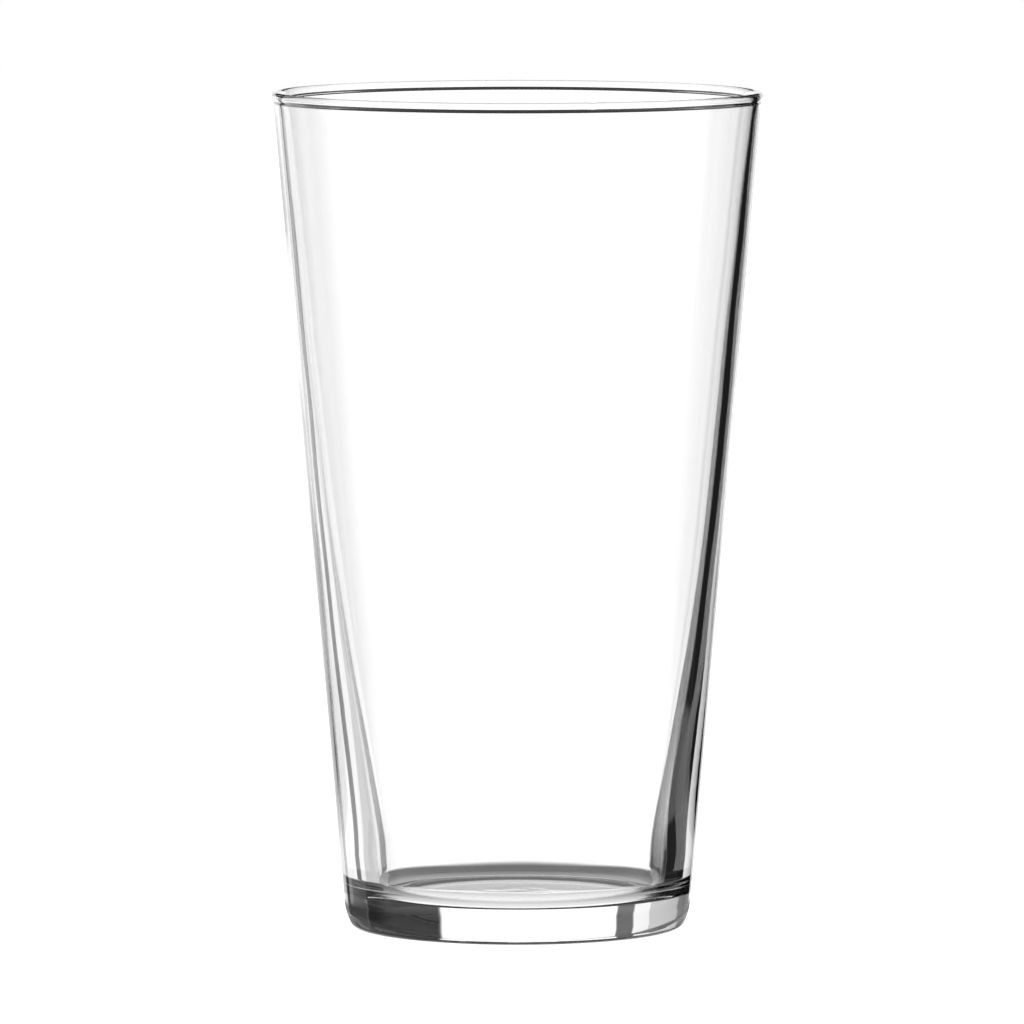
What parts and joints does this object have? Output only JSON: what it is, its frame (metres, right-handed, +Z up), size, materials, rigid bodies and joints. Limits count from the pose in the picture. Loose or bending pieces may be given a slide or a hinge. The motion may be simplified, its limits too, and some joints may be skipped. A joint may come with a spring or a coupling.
{
  "type": "mixing glass",
  "caption": "Plain conical mixing glass of clear glass, with a rolled rim, thin upper wall and heavy thickened base, for stirring or shaking drinks.",
  "frame": {"origin": "centre of the ring that the glass stands on, on the table", "axes": "+Z up along the axis of the glass, out of its mouth; it is round, so X and Y are alike"},
  "size_m": [0.088, 0.088, 0.15],
  "materials": {
    "clear_glass": "clear polished soda-lime glass, fire-finished at the rim"
  },
  "bodies": {
    "root": {"glass_body": "clear_glass"}
  },
  "joints": []
}
